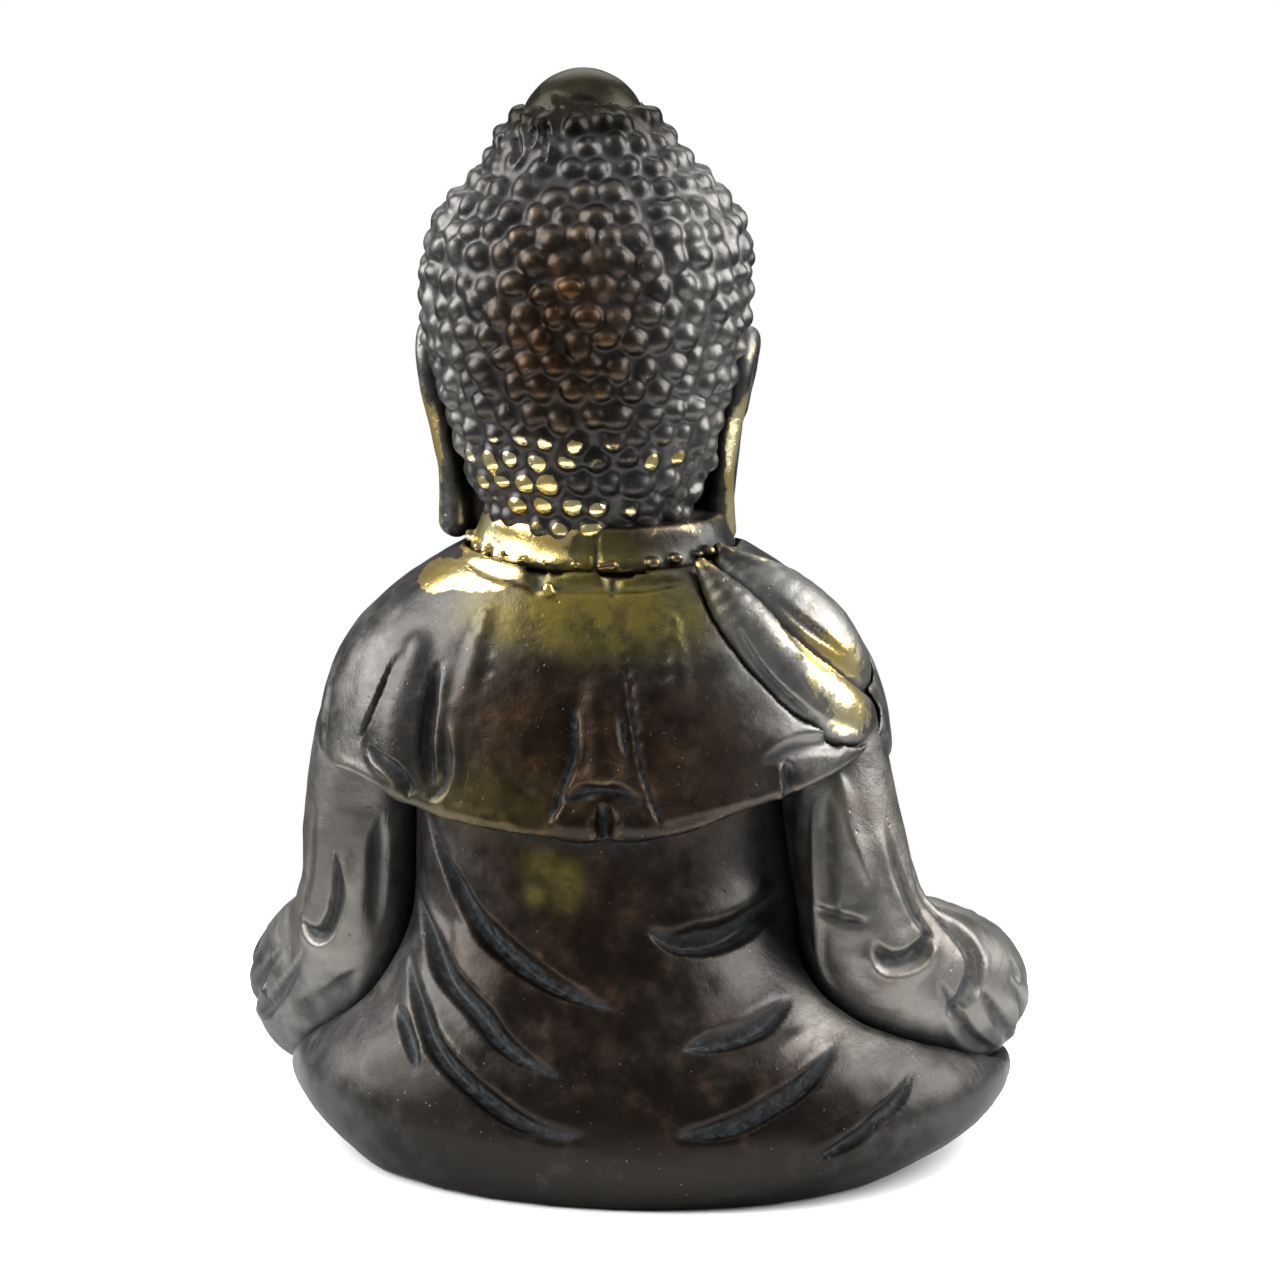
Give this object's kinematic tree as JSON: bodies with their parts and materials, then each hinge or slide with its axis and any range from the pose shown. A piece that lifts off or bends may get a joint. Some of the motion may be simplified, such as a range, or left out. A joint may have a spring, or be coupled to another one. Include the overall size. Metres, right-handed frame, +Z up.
{
  "type": "buddha statue",
  "caption": "Small cast brass seated Buddha statuette in a draped robe and shoulder cape, with curled hair, long ears and hands in the lap, assembled from brazed hollow castings.",
  "frame": {"origin": "middle of the resting face, under the lap", "axes": "+Z up; the figure faces -Y, so its left side is at +X"},
  "size_m": [0.071, 0.0503, 0.1],
  "materials": {
    "robe_patina": "dark brown antique patina over cast brass, satin, dusty in the grooves",
    "cape_patina": "dark warm brown patina, rubbed on the shoulders, satin",
    "hair_patina": "near-black patina, curls rubbed brown on their tips",
    "skin_patina": "dark brown patina, lightly polished by handling",
    "ear_patina": "dark patina with bare brass along the rims",
    "rubbed_brass": "patina filed and rubbed through to bare brass",
    "plate_brass": "sawn brass, dull and unpatinated"
  },
  "bodies": {
    "root": {"base_plate": "plate_brass", "lap_casting": "robe_patina", "torso_casting": "robe_patina", "waist_sash": "robe_patina", "shoulder_cape": "cape_patina", "shoulder_fold_upper": "cape_patina", "shoulder_fold_lower": "cape_patina", "neck_collar": "rubbed_brass", "left_upper_sleeve": "robe_patina", "right_upper_sleeve": "robe_patina", "left_lower_sleeve": "robe_patina", "right_lower_sleeve": "robe_patina", "left_hand": "skin_patina", "right_hand": "skin_patina", "left_foot": "skin_patina", "right_foot": "skin_patina", "neck_tenon": "plate_brass", "head_casting": "skin_patina", "hair_cap": "hair_patina", "ushnisha": "hair_patina", "crown_jewel": "hair_patina", "left_ear": "ear_patina", "right_ear": "ear_patina", "urna": "skin_patina"}
  },
  "joints": []
}
